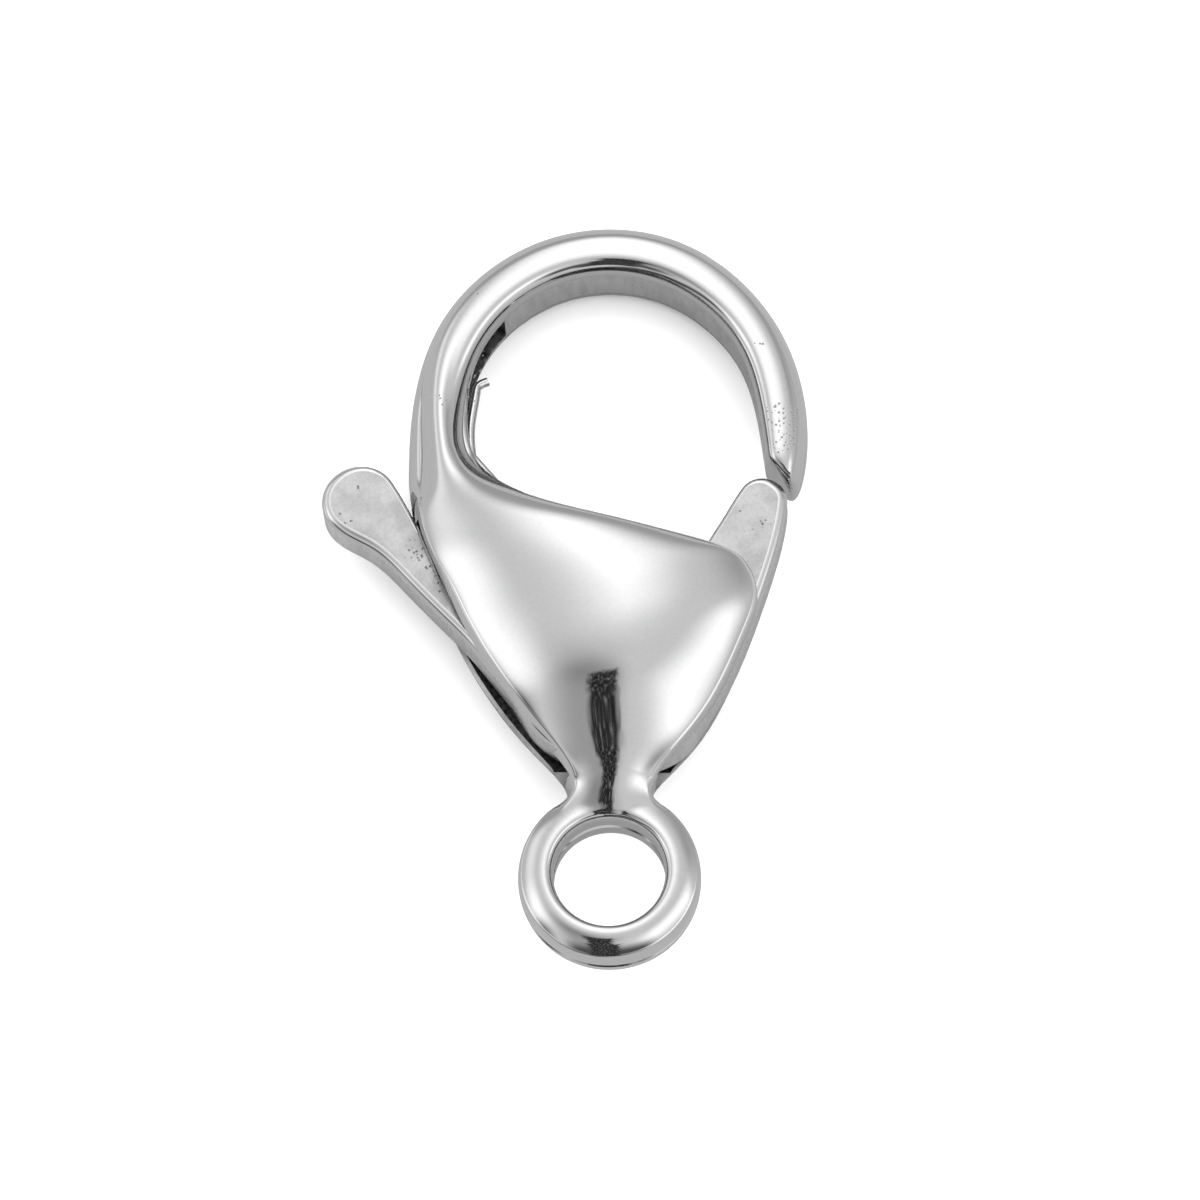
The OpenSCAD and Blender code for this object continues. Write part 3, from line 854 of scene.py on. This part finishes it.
def wall_steel():
    """The lever's sides, the shells' lips and the hook's inner wall, marked faintly square to the front."""
    f = bpy.context.scene.clasp_finish
    grain, pits = (3500.0, 1.0e-6, 0.84), (9000.0, 0.1, 3.0e-6)
    return steel("satin_wall", f.wall, 0.3, 0.7, grain, pits, stretch=(1.0, 1.0, 0.15))


def shaded_edge():
    """The lever's inner edges and the shells' walls in the eye, made darker than the rest as painted shade."""
    f = bpy.context.scene.clasp_finish
    return steel("shaded_edge", f.edge, 0.3, f.rim, (9000.0, 5.0e-7, 0.86), (9000.0, 0.0, 3.0e-6))


def shaded_cast_skin():
    """The rough skin of the casting inside the slot, its very dark colour painted shade of the slot and hollows.
    """
    f = bpy.context.scene.clasp_finish
    return steel("shaded_cast_skin", f.skin, 0.5, 0.5, (6000.0, 1.0e-5, 0.3), (6000.0, 0.6, 1.5e-5))


def cast_wall():
    """The channel's rough wall, mottled light and dark at random."""
    f = bpy.context.scene.clasp_finish
    return steel("cast_wall", f.wall, 0.25, 0.7, (3500.0, 4.0e-5, 0.3), (5000.0, 0.8, 2.0e-5))


def wire_steel():
    """Bright drawn wire."""
    f = bpy.context.scene.clasp_finish
    return steel("drawn_wire", f.wire, 0.2, f.rim, (8000.0, 6.0e-7, 0.9), (9000.0, 0.1, 2.0e-6))


# Pieces


class CLASP_OT_body(bpy.types.Operator):
    """Hook, shells, neck and end ring as one polished piece, slotted for the lever and the spring"""

    bl_idname = "clasp.body"
    bl_label = "Body"

    def execute(self, context):
        s = sizes()
        piece = closed_mesh("clasp_body", body_rings(s))
        combine(piece, closed_mesh("ring", ring_rings(s), capped=False), "UNION")
        self.round_neck(piece.data, s)
        self.cut_slot(piece, s)
        finish_piece(piece, [polished(), wall_steel(), shaded_cast_skin(), cast_wall(), shaded_edge()], 40)
        self.paint_walls(piece.data, s)
        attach(piece, "body")
        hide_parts("body")
        return {"FINISHED"}

    def round_neck(self, mesh, s):
        """Rounds the corner where the neck runs into the ring, in a band with soft ends."""
        co = vertex_places(mesh)
        r = np.hypot(co[:, 0], co[:, 1])
        near = np.clip((r - s["bore_r"] - 0.12) / 0.3, 0, 1) * np.clip((s["ring_r"] + 0.4 - r) / 0.25, 0, 1)
        side = np.clip((co[:, 1] - 1.5) / 0.5, 0, 1) * np.clip((1.95 - np.abs(co[:, 0])) / 0.45, 0, 1)
        weight = near * side
        weight[weight < 0.02] = 0.0
        relax(mesh, weight, 60)

    def cut_slot(self, piece, s):
        """Cuts the lever's room, the hollows, the neck's gap, the shoulder's notch and the channel."""
        half, reach = s["body_w"] / 2, s["reach"]
        room = s["lever_t"] / 2 + s["side_gap"]
        foot = s["ring_r"] + SLOT_Y
        wide = SLOT_CORNERS[0][0] * half
        corners = np.vstack([[[-wide, foot], [wide, foot]], np.array(SLOT_CORNERS) * [half, reach]])
        combine(piece, prism("room", corners, -room, room), "DIFFERENCE")
        lip = shell_outline(s, s["lip"])
        for low in (-HOLLOW_Z, room - OVERLAP):
            combine(piece, prism("hollow", lip, low, low + HOLLOW_Z - room + OVERLAP), "DIFFERENCE")
        gap = s["ring_r"] + NECK_GAP_Y
        strip = [[-wide, gap], [wide, gap], [wide, PIN[1]], [-wide, PIN[1]]]
        combine(piece, prism("gap", strip, -NECK_GAP_Z, NECK_GAP_Z), "DIFFERENCE")
        base, tip = NOTCH_FOOT * reach, NOTCH_POINT * reach
        ends = np.multiply(NOTCH_X, half)
        notch = np.array([[[x, base, -room], [x, base, room], [x, tip, 0.0]] for x in ends])
        combine(piece, closed_mesh("notch", notch), "DIFFERENCE")
        turn = np.linspace(CHANNEL_FROM, CHANNEL_TO, 71)
        h = s["channel_w"] / 2
        near, far = (polar(s["eye_r"] + side * s["channel_d"], turn) for side in (-1, 1))
        band = np.stack([
            np.column_stack([p + [0, reach], np.full(len(turn), z)])
            for p, z in ((near, -h), (far, -h), (far, h), (near, h))
        ], 1)
        combine(piece, closed_mesh("channel", band), "DIFFERENCE")

    def inside(self, middle, s):
        """True where a place is well inside the shells' outline: an even-odd count of crossings."""
        ring = shell_outline(s, s["lip"] * 0.5)
        a, b = ring[None], np.roll(ring, -1, 0)[None]
        x, y = middle[:, None, 0], middle[:, None, 1]
        straddles = (a[..., 1] > y) != (b[..., 1] > y)
        rise = np.where(straddles, b[..., 1] - a[..., 1], 1.0)
        crossing = a[..., 0] + (y - a[..., 1]) * (b[..., 0] - a[..., 0]) / rise
        return ((straddles & (x < crossing)).sum(1) % 2) == 1

    def paint_walls(self, mesh, s):
        """Gives each face its finish by where it stands.

        The hook's inner wall and the shells' lips are satin, the slot and the hollows have their rough cast skin,
        darkened as painted shade, the channel has a rough wall, and the shells' walls in the eye get painted
        shade.
        """
        middle, normal = faces(mesh)
        half, reach, eye_r = s["body_w"] / 2, s["reach"], s["eye_r"]
        off = middle[:, :2] - [0, reach]
        away = np.linalg.norm(off, axis=1)
        inwards = -np.einsum("ij,ij->i", off, normal[:, :2]) / away
        x, y, high, up = middle[:, 0], middle[:, 1], np.abs(middle[:, 2]), np.abs(normal[:, 2])
        room = s["lever_t"] / 2 + s["side_gap"] + CLOSE
        flat = up > 0.99
        deep = away > 1.03 * eye_r
        wall = (inwards > 0.8) & (away < 1.02 * eye_r) & (high < 0.52 * s["hook_wall"]) & (y > 0.78 * reach)
        shoulder = (x > -5.9) & (x < 2) & (y < 0.9 * reach) & deep
        lips = flat & (high < room) & (y > 0.28 * reach) & (y < EYE_SIDE * reach)
        # Painted shade: the slot, the neck's gap and the hollows get the dark shaded_cast_skin
        cut = (high < room) & (y > s["ring_r"] + SLOT_Y - CLOSE) & ((y < EYE_SIDE * reach) | shoulder)
        cut |= (high < NECK_GAP_Z + CLOSE) & (y > s["ring_r"] + NECK_GAP_Y - CLOSE) & (y < PIN[1])
        cut |= flat & (np.abs(high - HOLLOW_Z) < CLOSE)
        cut |= (high < HOLLOW_Z) & (high > room) & (up < 0.01) & self.inside(middle, s)
        channel = (away < eye_r + s["channel_d"] + 2 * CLOSE) & (high < s["channel_w"] / 2 + CLOSE)
        channel &= (x < 0) & deep & (y > reach - 3)
        # Painted shade: the shells' walls that face the eye get the dark shaded_edge steel
        edge = (normal[:, 1] > 0.3) & (up < 0.6) & (high > room)
        edge &= (y > 0.3 * reach) & (y < 0.8 * reach) & (x > -0.7 * half)
        paint(mesh, [channel, lips | wall, cut, edge], [3, 1, 2, 4])


class CLASP_OT_lever(bpy.types.Operator):
    """The trigger: thumb tab, hub and gate as one satin plate with bright bevelled rims"""

    bl_idname = "clasp.lever"
    bl_label = "Lever"

    def execute(self, context):
        s = sizes()
        piece = closed_mesh("clasp_lever", lever_rings(s))
        through = s["lever_t"]
        hole = polar(s["pin_r"] + PIN_GAP, np.arange(64) * 360.0 / 64) + PIN[:2]
        combine(piece, prism("hole", hole, -through, through), "DIFFERENCE")
        pocket = polar(POCKET_R, np.arange(96) * 360.0 / 96) + PIN[:2]
        combine(piece, prism("pocket", pocket, -NECK_GAP_Z, NECK_GAP_Z), "DIFFERENCE")
        finish_piece(piece, [satin(), polished(), wall_steel(), shaded_edge()], 30)
        middle, normal = faces(piece.data)
        up = np.abs(normal[:, 2])
        # Painted shade: edges that face back towards the clasp's middle get the dark shaded_edge steel
        inward = normal[:, 0] * np.sign(middle[:, 0] - PIN[0]) < -0.1
        paint(piece.data, [up < 0.08, inward & (up < 0.8), ~inward & (up < 0.9995)], [2, 3, 1])
        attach(piece, "lever")
        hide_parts("lever")
        return {"FINISHED"}


class CLASP_OT_spring(bpy.types.Operator):
    """The wire spring: one end on the gate, a coil round the pin and the free end in the hook's channel"""

    bl_idname = "clasp.spring"
    bl_label = "Spring"

    def execute(self, context):
        s = sizes()
        t = np.linspace(0, 1, 15)
        round_pin = polar(s["coil_r"], COIL_FROM + COIL_ARC * t) + PIN[:2]
        coil = np.column_stack([round_pin, COIL_RISE * (t - 0.5)])
        gate = np.array([[*(s["gate_reach"] * np.array(SPRING_ON_GATE) + PIN[:2]), -COIL_RISE / 2]])
        ends = np.array(SPRING_ROWS) * s["eye_r"] + [0, s["reach"]]
        free = np.column_stack([ends, np.linspace(COIL_RISE / 2, 0.0, len(ends))])
        path = np.vstack([gate, coil, free])
        fine = np.vstack([spline_rows(path[:-len(free)], 4), spline_rows(path[-len(free):], 10)])
        piece = closed_mesh("clasp_spring", tube(fine, s["wire_d"] / 2))
        finish_piece(piece, [wire_steel()], 50)
        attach(piece, "body")
        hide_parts("spring")
        return {"FINISHED"}


class CLASP_OT_pin(bpy.types.Operator):
    """The pin keeps its CAD shape and gets its steel"""

    bl_idname = "clasp.pin"
    bl_label = "Pin"

    def execute(self, context):
        f = context.scene.clasp_finish
        material = steel("ground_pin", f.steel, 0.15, f.rim, (4000.0, 2.0e-7, 0.94), (9000.0, 0.1, 2.0e-6))
        pin = frame["nodes"]["pivot_pin"]
        if not pin.material_slots:
            raise RuntimeError("the pin has no material slot")
        for place in pin.material_slots:
            place.material = material
        return {"FINISHED"}


class CLASP_OT_stage(bpy.types.Operator):
    """A plain pale floor, soft light all round and the camera"""

    bl_idname = "clasp.stage"
    bl_label = "Stage"

    def execute(self, context):
        self.make_floor(context)
        self.make_light(context)
        self.make_camera(context)
        return {"FINISHED"}

    def make_floor(self, context):
        """A round floor at height zero, darker where the steel mirrors it."""
        g = context.scene.clasp_stage
        rim = polar(g.floor_r, np.arange(96) * 360.0 / 96)
        mesh = bpy.data.meshes.new("floor")
        mesh.from_pydata(np.column_stack([rim, np.zeros(len(rim))]).tolist(), [], [list(range(len(rim)))])
        floor = bpy.data.objects.new("floor", mesh)
        context.scene.collection.objects.link(floor)
        material = bpy.data.materials.new("floor_paper")
        material.use_nodes = True
        w = Wiring(material.node_tree)
        mirrored = w.add("ShaderNodeLightPath")["Is Glossy Ray"]
        shader = w.nodes["Principled BSDF"].inputs
        w.feed(shader["Base Color"], w.mix(mirrored, scaled(g.floor, 1.0), scaled(g.floor, g.mirror)))
        w.feed(shader["Roughness"], 0.9)
        w.feed(shader["Specular IOR Level"], 0.1)
        mesh.materials.append(material)

    def make_light(self, context):
        """A pale tent with soft bright windows and dark shapes, a row of TENT_PATCHES for each.

        A direction is laid flat by u = x / (1 + z) and v = y / (1 + z), so straight up is the middle and the
        horizon is the circle of radius 1. Each patch is a turned rectangle with soft sides, which blends the
        tent towards its own brightness. A ragged one has torn sides and light flecks. The camera sees plain
        white, and fill gives the floor more light.
        """
        g = context.scene.clasp_stage
        world = bpy.data.worlds.new("tent")
        world.use_nodes = True
        w = Wiring(world.node_tree)
        way = w.add("ShaderNodeTexCoord")["Generated"]
        axes = w.add("ShaderNodeSeparateXYZ", {"Vector": way})
        below = w.maths("ADD", w.maths("MAXIMUM", axes["Z"], -0.5), 1.0)
        u, v = w.maths("DIVIDE", axes["X"], below), w.maths("DIVIDE", axes["Y"], below)
        flat = w.add("ShaderNodeCombineXYZ", {"X": u, "Y": v})["Vector"]
        far = w.add("ShaderNodeVectorMath", {0: flat}, operation="LENGTH")["Value"]
        light = w.ramp(far, 0.5, 0.95, g.tent, g.tent * g.horizon)
        torn = w.add("ShaderNodeTexNoise", {"Vector": flat, "Scale": 40.0, "Detail": 3.0})["Fac"]
        tear = w.maths("MULTIPLY", w.maths("SUBTRACT", torn, 0.5), 4.0)
        drawn = w.add("ShaderNodeMapping", {"Vector": flat, "Scale": (1.0, 0.6, 1.0)})["Vector"]
        flecks = w.add("ShaderNodeTexNoise", {"Vector": drawn, "Scale": 130.0})["Fac"]
        fleck = w.ramp(flecks, 0.5, 0.75, 0.0, 0.5)
        for at_u, at_v, half_u, half_v, turn, soft, level, ragged in TENT_PATCHES:
            c, k = math.cos(math.radians(turn)), math.sin(math.radians(turn))
            shift = w.maths("MULTIPLY", tear, ragged)
            du = w.maths("ADD", w.maths("SUBTRACT", u, at_u), shift)
            dv = w.maths("ADD", w.maths("SUBTRACT", v, at_v), shift)
            a = w.maths("ADD", w.maths("MULTIPLY", du, c), w.maths("MULTIPLY", dv, k))
            b = w.maths("SUBTRACT", w.maths("MULTIPLY", dv, c), w.maths("MULTIPLY", du, k))
            mask = w.maths("MULTIPLY", *[
                w.ramp(w.maths("ABSOLUTE", across, 0.0), half + soft, half - soft)
                for across, half in ((a, half_u), (b, half_v))
            ])
            if ragged:
                level = w.maths("ADD", fleck, level)
            gap = w.maths("SUBTRACT", level, light)
            light = w.maths("ADD", w.maths("MULTIPLY", gap, mask), light)
        path = w.add("ShaderNodeLightPath")
        plain = w.maths("MULTIPLY", w.maths("SUBTRACT", 1.0, light), path["Is Camera Ray"])
        fill = w.maths("MULTIPLY", path["Is Diffuse Ray"], g.fill - 1.0)
        light = w.maths("MULTIPLY", light, w.maths("ADD", fill, 1.0))
        sky = w.nodes["Background"].inputs
        w.feed(sky["Strength"], w.maths("ADD", plain, light))
        w.feed(sky["Color"], (1.0, 1.0, 1.0, 1.0))
        context.scene.world = world
        context.scene.view_settings.view_transform = "Standard"

    def make_camera(self, context):
        """A long lens high above the clasp, on the ring's side and a little to the right."""
        azimuth, elevation = math.radians(CAMERA_AZIMUTH), math.radians(CAMERA_ELEVATION)
        back = np.array([
            math.sin(azimuth) * math.cos(elevation),
            -math.cos(azimuth) * math.cos(elevation),
            math.sin(elevation),
        ])
        up = np.array([0.0, 1.0, 0.0]) - back[1] * back
        up /= np.linalg.norm(up)
        right = np.cross(up, back)
        eye = np.array(CAMERA_AIM) - right * CAMERA_LEFT + up * CAMERA_UP + back * CAMERA_FAR
        camera = bpy.data.cameras.new("camera")
        camera.lens = CAMERA_LENS
        camera.sensor_width = 36.0
        camera.clip_start = 0.01
        camera.clip_end = 10.0
        view = bpy.data.objects.new("camera", camera)
        turn = np.eye(4)
        turn[:3, :3] = BASIS @ np.stack([right, up, back], 1)
        turn[:3, 3] = RING_MIDDLE + BASIS @ eye * MM
        view.matrix_world = Matrix(turn.tolist())
        context.scene.collection.objects.link(view)
        context.scene.camera = view


class CLASP_PT_panel(bpy.types.Panel):
    """Lists the clasp's pieces, sizes and finishes"""

    bl_label = "Lobster clasp"
    bl_idname = "CLASP_PT_panel"
    bl_space_type = "VIEW_3D"
    bl_region_type = "UI"
    bl_category = "Clasp"

    def draw(self, context):
        for operator in OPERATORS:
            self.layout.operator(operator.bl_idname)
        for key, group in GROUPS.items():
            box = self.layout.box()
            for name in group.__annotations__:
                box.prop(getattr(context.scene, key), name)


OPERATORS = (CLASP_OT_body, CLASP_OT_lever, CLASP_OT_spring, CLASP_OT_pin, CLASP_OT_stage)
GROUPS = {"clasp_sizes": ClaspSizes, "clasp_finish": ClaspFinish, "clasp_stage": ClaspStage}


def register():
    for group in GROUPS.values():
        bpy.utils.register_class(group)
    for key, group in GROUPS.items():
        setattr(bpy.types.Scene, key, bpy.props.PointerProperty(type=group))
    for kind in (*OPERATORS, CLASP_PT_panel):
        bpy.utils.register_class(kind)


def unregister():
    for kind in (CLASP_PT_panel, *reversed(OPERATORS)):
        bpy.utils.unregister_class(kind)
    for key, group in GROUPS.items():
        delattr(bpy.types.Scene, key)
        bpy.utils.unregister_class(group)


def main():
    """Builds the clasp and its stage."""
    register()
    for operator in OPERATORS:
        getattr(bpy.ops.clasp, operator.bl_idname.split(".")[1])()


if __name__ == "__main__":
    main()
